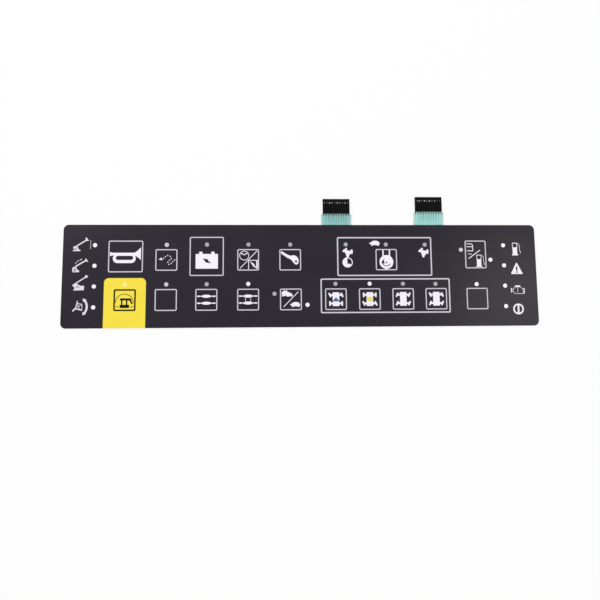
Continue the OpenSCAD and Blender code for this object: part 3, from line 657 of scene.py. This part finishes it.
def select_where(piece, kind, test):
    """Goes to edit mode and selects the faces or edges that pass a test."""
    pick(piece)
    bpy.ops.object.mode_set(mode="EDIT")
    bpy.ops.mesh.select_mode(type=kind)
    bpy.ops.mesh.select_all(action="DESELECT")
    mesh = bmesh.from_edit_mesh(piece.data)
    found = [part for part in (mesh.faces if kind == "FACE" else mesh.edges) if test(part)]
    if not found:
        raise RuntimeError(f"nothing to select on {piece.name}")
    for part in found:
        part.select = True
    mesh.select_flush_mode()
    bmesh.update_edit_mesh(piece.data)


def faces_towards(x, y, z):
    """A test for faces whose normal points one way."""
    way = Vector((x, y, z))
    return lambda face: face.normal.dot(way) > ALIGNED


def edges_along(x, y, z):
    """A test for edges that run one way."""
    way = Vector((x, y, z))
    return lambda edge: abs((edge.verts[1].co - edge.verts[0].co).normalized().dot(way)) > ALIGNED


def extrude(*move):
    """Extrudes what is selected."""
    bpy.ops.mesh.extrude_region_move(TRANSFORM_OT_translate={"value": move})


def apply_modifier(piece, kind, **values):
    """Adds a modifier and applies it."""
    pick(piece)
    modifier = piece.modifiers.new(kind.title(), kind)
    for name, value in values.items():
        setattr(modifier, name, value)
    bpy.ops.object.modifier_apply(modifier=modifier.name)


def combine(piece, tool, operation):
    """Cuts a tool out of a piece or joins it to the piece, and removes the tool."""
    apply_modifier(piece, "BOOLEAN", object=tool, operation=operation, solver="EXACT")
    bpy.data.objects.remove(tool)


def repeat(piece, count, step):
    """Repeats a piece along X within one mesh."""
    apply_modifier(
        piece, "ARRAY", count=count, use_relative_offset=False, use_constant_offset=True,
        constant_offset_displace=(step, 0, 0),
    )


def copy_across(piece, name, move):
    """A copy of a finished piece with its own mesh."""
    pick(piece)
    bpy.ops.object.duplicate(linked=False)
    made = bpy.context.object
    made.name = name
    bpy.ops.transform.translate(value=move)
    bpy.ops.object.transform_apply(location=True, rotation=True, scale=True)
    return made


def smooth(piece):
    """Shades a piece smooth, apart from its sharper edges."""
    pick(piece)
    bpy.ops.object.shade_smooth_by_angle(angle=SMOOTH_ANGLE)


def finish_piece(piece, material, node):
    """Dresses a new piece, fixes it to the body and lets it stand for its node."""
    if not piece.data.polygons:
        raise RuntimeError(f"{piece.name} has no faces")
    piece.data.materials.clear()
    piece.data.materials.append(material)
    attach(piece, BODY)
    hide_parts(node)


def first_way(connector):
    """X of the left connector's first contact."""
    low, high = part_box("housing_left")
    return (low.x + high.x) / 2 - (connector.ways - 1) / 2 * connector.pitch


def contact_half(connector):
    """Half the width of one contact."""
    low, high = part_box("contacts_left")
    return (high.x - low.x - (connector.ways - 1) * connector.pitch) / 2


def film_underside(connector):
    """Level of the tail film's lower face."""
    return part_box("circuit_film")[1].z - connector.film_gauge


def housing_shell(connector):
    """Outer form of the left housing: a chamfered mating end and moulded edges."""
    low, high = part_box("housing_left")
    shell = start_box("connector_left", low, high)
    along = edges_along(1, 0, 0)
    select_where(
        shell, "EDGE",
        lambda edge: along(edge) and edge.verts[0].co.y > high.y - connector.edge_round,
    )
    bpy.ops.mesh.bevel(offset=connector.front_chamfer, segments=1, affect="EDGES")
    select_where(shell, "EDGE", lambda edge: True)
    bpy.ops.mesh.bevel(offset=connector.edge_round, segments=ROUND_STEPS, affect="EDGES")
    return shell


def chamber_tool(connector):
    """Chamber of one contact, narrowed to the square opening for a pin."""
    low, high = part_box("housing_left")
    x = first_way(connector)
    middle = (low.z + high.z) / 2
    half = Vector((connector.chamber_width, 0, connector.chamber_height)) / 2
    wall = high.y - connector.front_wall
    tool = start_box(
        "chamber", (x - half.x, low.y - connector.edge_round, middle - half.z),
        (x + half.x, wall, middle + half.z),
    )
    select_where(tool, "FACE", faces_towards(0, 1, 0))
    extrude(0, 0, 0)
    bpy.ops.transform.resize(
        value=(
            connector.pin_opening / connector.chamber_width, 1,
            connector.pin_opening / connector.chamber_height,
        ),
        center_override=(x, wall, middle),
    )
    extrude(0, connector.front_wall + connector.edge_round, 0)
    deselect()
    return tool


def pin_lead_tool(connector):
    """Conical lead-in of one pin opening."""
    low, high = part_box("housing_left")
    deselect()
    bpy.ops.mesh.primitive_cone_add(
        vertices=LEAD_SIDES, radius1=connector.pin_lead / 2, radius2=connector.pin_opening / 2,
        depth=connector.pin_lead_depth,
        location=(
            first_way(connector), high.y - connector.pin_lead_depth / 2, (low.z + high.z) / 2,
        ),
        rotation=(math.radians(90), 0, 0),
    )
    tool = bpy.context.object
    bpy.ops.object.transform_apply(location=True, rotation=True, scale=True)
    select_where(tool, "FACE", faces_towards(0, 1, 0))
    extrude(0, connector.edge_round, 0)
    deselect()
    return tool


def window_tool(connector):
    """Window above one contact's lance, with a chamfered lip."""
    low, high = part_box("housing_left")
    x = first_way(connector)
    start = high.y - connector.window_setback
    half = connector.window_width / 2
    lip = connector.window_lip
    tool = start_box(
        "window", (x - half, start, (low.z + high.z) / 2),
        (x + half, start + connector.window_length, high.z - lip),
    )
    select_where(tool, "FACE", faces_towards(0, 0, 1))
    extrude(0, 0, lip)
    bpy.ops.transform.resize(
        value=(
            1 + 2 * lip / connector.window_width, 1 + 2 * lip / connector.window_length, 1,
        ),
        center_override=(x, start + connector.window_length / 2, high.z),
    )
    extrude(0, 0, lip)
    deselect()
    return tool


def slot_tool(connector):
    """Slot that takes the tail's end."""
    low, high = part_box("housing_left")
    middle = (low + high) / 2
    half = Vector((connector.slot_width, 0, connector.slot_height)) / 2
    tool = start_box(
        "slot", (middle.x - half.x, low.y + connector.edge_round, middle.z - half.z),
        (middle.x + half.x, low.y + connector.slot_depth, middle.z + half.z),
    )
    select_where(tool, "FACE", faces_towards(0, -1, 0))
    extrude(0, -connector.edge_round, 0)
    bpy.ops.transform.resize(
        value=(1, 1, 1 + 2 * connector.edge_round / connector.slot_height),
        center_override=(middle.x, low.y, middle.z),
    )
    extrude(0, -connector.edge_round, 0)
    deselect()
    return tool


def scallop_tool(connector):
    """Round notch in the mating end, between the first two ways."""
    low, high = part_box("housing_left")
    deselect()
    bpy.ops.mesh.primitive_cylinder_add(
        vertices=SCALLOP_SIDES, radius=connector.scallop / 2, depth=2 * (high.z - low.z),
        location=(first_way(connector) + connector.pitch / 2, high.y, (low.z + high.z) / 2),
    )
    bpy.ops.object.transform_apply(location=True, rotation=True, scale=True)
    return bpy.context.object


def contact_box(connector):
    """Box that takes a pin, folded from strip."""
    low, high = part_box("contacts_left")
    x = first_way(connector)
    half = contact_half(connector)
    top = high.z - connector.lance_rise
    box = start_box(
        "contacts_left", (x - half, high.y - connector.box_length, low.z), (x + half, high.y, top),
    )
    ends = (faces_towards(0, 1, 0), faces_towards(0, -1, 0))
    select_where(box, "FACE", lambda face: ends[0](face) or ends[1](face))
    bpy.ops.mesh.delete(type="ONLY_FACE")
    select_where(box, "EDGE", edges_along(0, 1, 0))
    bpy.ops.mesh.bevel(offset=connector.contact_fold, segments=FOLD_STEPS, affect="EDGES")
    deselect()
    apply_modifier(box, "SOLIDIFY", thickness=connector.contact_gauge, offset=-1)
    return box


def contact_strip(connector):
    """Level crimp strip under the film, stepped down to the box's floor."""
    low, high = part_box("contacts_left")
    x = first_way(connector)
    half = contact_half(connector)
    level = film_underside(connector)
    gauge = connector.contact_gauge
    end = low.y + connector.crimp_length
    strip = start_box("strip", (x - half, low.y, level - gauge), (x + half, end, level))
    select_where(strip, "FACE", faces_towards(0, 1, 0))
    box_start = high.y - connector.box_length
    extrude(0, box_start - end, low.z + gauge - level)
    extrude(0, connector.contact_fold, 0)
    deselect()
    return strip


def contact_lance(connector):
    """Sprung tongue that locks in the housing's window."""
    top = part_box("contacts_left")[1].z
    x = first_way(connector)
    half = connector.lance_width / 2
    near = connector.contact_gauge / 2
    window_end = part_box("housing_left")[1].y - connector.window_setback
    start = window_end + connector.lance_setback
    end = start + connector.lance_length
    lance = start_box(
        "lance", (x - half, start, top - connector.lance_rise - near), (x + half, end, top),
    )
    across = edges_along(1, 0, 0)
    select_where(
        lance, "EDGE",
        lambda edge: across(edge)
        and edge.verts[0].co.y > end - near
        and edge.verts[0].co.z > top - near,
    )
    bpy.ops.transform.translate(value=(0, 0, -connector.lance_rise))
    deselect()
    return lance


def contact_claw(connector, start, side):
    """Claw that passes through the film and folds over its conductor."""
    x = first_way(connector) + side * connector.claw_offset
    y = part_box("contacts_left")[0].y + start
    gauge = connector.contact_gauge
    level = film_underside(connector)
    top = level + connector.claw_height
    claw = start_box(
        "claw", (x - gauge / 2, y, level - gauge / 2),
        (x + gauge / 2, y + connector.claw_length, top),
    )
    select_where(claw, "FACE", faces_towards(0, 0, 1))
    extrude(0, 0, gauge)
    select_where(
        claw, "FACE",
        lambda face: faces_towards(-side, 0, 0)(face) and face.calc_center_median().z > top,
    )
    extrude(-side * (connector.claw_offset - gauge), 0, 0)
    deselect()
    return claw


# Stage

def seen_rays(tree):
    """1 for rays from the camera, a gloss or a clear surface, else 0."""
    rays = tree.nodes.new("ShaderNodeLightPath").outputs
    direct = calculate(tree, "MAXIMUM", rays["Is Camera Ray"], rays["Is Glossy Ray"])
    return calculate(tree, "MAXIMUM", direct, rays["Is Transmission Ray"])


def lay_floor(stage):
    """White floor that keeps the keypad's shadow."""
    deselect()
    bpy.ops.mesh.primitive_plane_add(size=stage.floor_side, location=(0, 0, -stage.floor_gap))
    floor = bpy.context.object
    floor.name = "floor"
    paint = bpy.data.materials.new("floor_white")
    paint.use_nodes = True
    tree = paint.node_tree
    tree.nodes.clear()
    card = add_node(tree, "ShaderNodeBsdfDiffuse", {"Color": FLOOR_CARD})
    glow = add_node(tree, "ShaderNodeEmission", {"Color": WHITE, "Strength": 1.0})
    seen = calculate(tree, "MULTIPLY", seen_rays(tree), stage.floor_white)
    mixed = add_node(
        tree, "ShaderNodeMixShader", {0: seen, 1: card.outputs[0], 2: glow.outputs[0]},
    )
    add_node(tree, "ShaderNodeOutputMaterial", {"Surface": mixed.outputs[0]})
    floor.data.materials.append(paint)


def light_sky(scene, stage):
    """Even light from all round, white where it is seen."""
    world = scene.world or bpy.data.worlds.new("Sky")
    scene.world = world
    world.use_nodes = True
    tree = world.node_tree
    tree.nodes.clear()
    strength = ramp(tree, seen_rays(tree), 0.0, 1.0, start=stage.sky, end=1.0)
    sky = add_node(tree, "ShaderNodeBackground", {"Color": WHITE, "Strength": strength})
    add_node(tree, "ShaderNodeOutputWorld", {"Surface": sky.outputs[0]})


def hang_lamp(name, place, side, watts):
    """Square soft lamp that points at the middle of the panel."""
    deselect()
    aim = (-Vector(place)).to_track_quat("-Z", "Y").to_euler()
    bpy.ops.object.light_add(type="AREA", location=place, rotation=aim)
    lamp = bpy.context.object
    lamp.name = name
    lamp.data.size = side
    lamp.data.energy = watts


def stand_camera(scene, stage):
    """Camera at the photograph's view."""
    deselect()
    bpy.ops.object.camera_add(location=stage.camera_place, rotation=stage.camera_turn)
    camera = bpy.context.object
    camera.data.lens = stage.lens
    camera.data.clip_start = CAMERA_CLIP
    scene.camera = camera
    scene.view_settings.view_transform = "Standard"


# Operators

class KEYPAD_OT_overlay(bpy.types.Operator):
    """Finish the dark film that is touched"""

    bl_idname = "keypad.overlay"
    bl_label = "Overlay film"

    def execute(self, context):
        dress(overlay_film(context.scene.keypad), "graphic_overlay")
        return {"FINISHED"}


class KEYPAD_OT_inks(bpy.types.Operator):
    """Finish the printed frames, signs and fields"""

    bl_idname = "keypad.inks"
    bl_label = "Inks"

    def execute(self, context):
        settings = context.scene.keypad
        tones = settings.colours
        dress(ink("yellow_ink", tones.yellow, settings, roughness=0.45), "yellow_field")
        dress(ink("frame_ink", tones.frames, settings), "white_frames")
        dress(ink("white_ink", tones.white, settings), *SIGN_NODES)
        dress(ink("thin_white_ink", tones.thin_white, settings), "signs_left")
        dress(ink("black_ink", tones.black, settings, gloss=0.08), "black_frame", "sign_black")
        dress(ink("blue_ink", tones.blue, settings), "accent_blue")
        dress(ink("pale_yellow_ink", tones.pale_yellow, settings), "accent_yellow")
        return {"FINISHED"}


class KEYPAD_OT_windows(bpy.types.Operator):
    """Finish the light windows, one material for each tint"""

    bl_idname = "keypad.windows"
    bl_label = "Light windows"

    def execute(self, context):
        settings = context.scene.keypad
        for shade in ("white", "pale", "grey", "yellow"):
            tone = getattr(settings.colours, f"window_{shade}")
            dress(light_window(f"window_{shade}", tone, settings), f"windows_{shade}")
        return {"FINISHED"}


class KEYPAD_OT_laminate(bpy.types.Operator):
    """Finish the adhesives, the spacer and the release liner"""

    bl_idname = "keypad.laminate"
    bl_label = "Laminate"

    def execute(self, context):
        settings = context.scene.keypad
        tones = settings.colours
        adhesive = clear_film("adhesive", tones.adhesive, settings, haze=0.3)
        dress(adhesive, "overlay_adhesive", "rear_adhesive")
        dress(clear_film("spacer_film", tones.spacer, settings, haze=0.4), "spacer")
        dress(release_paper(settings), "release_liner")
        return {"FINISHED"}


class KEYPAD_OT_switches(bpy.types.Operator):
    """Finish the snap domes and the chip lights"""

    bl_idname = "keypad.switches"
    bl_label = "Domes and lights"

    def execute(self, context):
        settings = context.scene.keypad
        tones = settings.colours
        domes = [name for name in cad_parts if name.startswith("dome_")]
        lights = [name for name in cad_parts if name.startswith("lights_")]
        low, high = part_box(domes[0])
        # Painted shade on the lower dome and a painted highlight on its top.
        steel = strip_metal(
            "spring_steel", tones.steel, settings, low.z, high.z, painted_shade_share=0.75, roughness=0.22,
        )
        dress(steel, *domes)
        dress(light_window("chip_light", tones.chip, settings), *lights)
        return {"FINISHED"}


class KEYPAD_OT_circuit(bpy.types.Operator):
    """Finish the circuit film, its silver and the coat on its tails"""

    bl_idname = "keypad.circuit"
    bl_label = "Circuit and tails"

    def execute(self, context):
        settings = context.scene.keypad
        film = clear_film("circuit_film", settings.colours.circuit, settings, haze=0.2)
        dress(film, "circuit_film")
        dress(silver_ink(settings), "silver_circuit")
        for side in SIDES:
            dress(tail_coat(settings, side), f"coat_{side}")
        return {"FINISHED"}


class KEYPAD_OT_housings(bpy.types.Operator):
    """Model both connector housings"""

    bl_idname = "keypad.housings"
    bl_label = "Connector housings"

    def execute(self, context):
        settings = context.scene.keypad
        connector = settings.connector
        shell = housing_shell(connector)
        for make, count in (
            (chamber_tool, connector.ways), (pin_lead_tool, connector.ways),
            (window_tool, connector.ways), (scallop_tool, connector.ways - 1),
        ):
            tool = make(connector)
            repeat(tool, count, connector.pitch)
            combine(shell, tool, "DIFFERENCE")
        combine(shell, slot_tool(connector), "DIFFERENCE")
        smooth(shell)
        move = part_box("housing_right")[0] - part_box("housing_left")[0]
        twin = copy_across(shell, "connector_right", move)
        plastic = housing_plastic(settings)
        finish_piece(shell, plastic, "housing_left")
        finish_piece(twin, plastic, "housing_right")
        return {"FINISHED"}


class KEYPAD_OT_contacts(bpy.types.Operator):
    """Model the crimp contacts of both connectors"""

    bl_idname = "keypad.contacts"
    bl_label = "Crimp contacts"

    def execute(self, context):
        settings = context.scene.keypad
        connector = settings.connector
        contact = contact_box(connector)
        combine(contact, contact_strip(connector), "UNION")
        combine(contact, contact_lance(connector), "UNION")
        for start in (connector.first_claw, connector.second_claw):
            for side in (-1, 1):
                combine(contact, contact_claw(connector, start, side), "UNION")
        repeat(contact, connector.ways, connector.pitch)
        smooth(contact)
        contact.name = "crimp_contacts_left"
        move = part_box("contacts_right")[0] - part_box("contacts_left")[0]
        twin = copy_across(contact, "crimp_contacts_right", move)
        # Deep painted shade below the box's top and painted glints above it.
        box_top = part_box("contacts_left")[1].z - connector.lance_rise
        tin = strip_metal(
            "contact_metal", settings.colours.tin, settings, box_top,
            box_top + settings.surface.glint_height, painted_shade_share=0.1, roughness=0.28,
        )
        finish_piece(contact, tin, "contacts_left")
        finish_piece(twin, tin, "contacts_right")
        return {"FINISHED"}


class KEYPAD_OT_stage(bpy.types.Operator):
    """Set the floor, the light and the camera"""

    bl_idname = "keypad.stage"
    bl_label = "Stage"

    def execute(self, context):
        stage = context.scene.keypad.stage
        lay_floor(stage)
        light_sky(context.scene, stage)
        hang_lamp("Key lamp", stage.key_place, stage.key_side, stage.key_power)
        hang_lamp("Fill lamp", stage.fill_place, stage.fill_side, stage.fill_power)
        stand_camera(context.scene, stage)
        return {"FINISHED"}


class KEYPAD_PT_panel(bpy.types.Panel):
    """Steps of the keypad, in order"""

    bl_idname = "KEYPAD_PT_panel"
    bl_label = "Membrane keypad"
    bl_space_type = "VIEW_3D"
    bl_region_type = "UI"
    bl_category = "Keypad"

    def draw(self, context):
        for step in STEPS:
            self.layout.operator(step.bl_idname)


STEPS = (
    KEYPAD_OT_stage,
    KEYPAD_OT_overlay,
    KEYPAD_OT_inks,
    KEYPAD_OT_windows,
    KEYPAD_OT_laminate,
    KEYPAD_OT_switches,
    KEYPAD_OT_circuit,
    KEYPAD_OT_housings,
    KEYPAD_OT_contacts,
)
GROUPS = (KeypadColours, KeypadSurface, KeypadConnector, KeypadStage, KeypadSettings)
CLASSES = (*GROUPS, *STEPS, KEYPAD_PT_panel)


def register():
    """Registers the classes and hangs the settings on the scene."""
    for item in CLASSES:
        bpy.utils.register_class(item)
    bpy.types.Scene.keypad = PointerProperty(type=KeypadSettings)


def unregister():
    """Takes the settings and the classes away again."""
    del bpy.types.Scene.keypad
    for item in reversed(CLASSES):
        bpy.utils.unregister_class(item)


def main():
    """Runs each step."""
    register()
    for step in STEPS:
        area, name = step.bl_idname.split(".")
        getattr(getattr(bpy.ops, area), name)()


if __name__ == "__main__":
    main()
